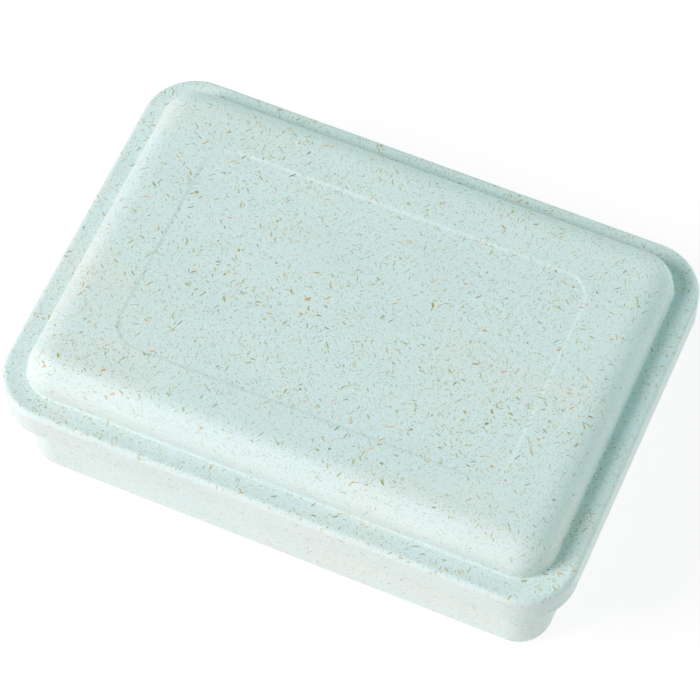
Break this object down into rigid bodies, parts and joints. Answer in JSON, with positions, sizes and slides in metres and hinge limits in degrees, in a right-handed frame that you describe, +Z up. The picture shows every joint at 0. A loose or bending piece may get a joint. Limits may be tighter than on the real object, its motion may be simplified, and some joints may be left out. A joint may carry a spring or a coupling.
{
  "type": "travel soap box",
  "caption": "Travel soap box: a deep tub on a standing ring, a loose slotted drain rack inside, and a lift-off lid with a round-edged dome over a flat ledge and skirt.",
  "frame": {"origin": "middle of the face that the tub stands on, at the bottom centre of the closed box", "axes": "+X along the long side, +Y along the short side towards the back, +Z up, the way that the lid lifts"},
  "size_m": [0.115, 0.0814, 0.0352],
  "materials": {
    "straw_plastic": "matte to satin, pale mint with fine straw flecks"
  },
  "bodies": {
    "base": {"base_tub": "straw_plastic"},
    "rack": {"drain_rack": "straw_plastic"},
    "lid": {"lid": "straw_plastic"}
  },
  "joints": [
    {"name": "lid_lift", "type": "slide", "parent": "base", "child": "lid", "axis": [0, 0, 1], "range_m": [0, 0.06]},
    {"name": "rack_lift", "type": "slide", "parent": "base", "child": "rack", "axis": [0, 0, 1], "range_m": [0, 0.027]}
  ],
  "couplings": [
    {"joint": "rack_lift", "follows": "lid_lift", "ratio": 0.45}
  ]
}
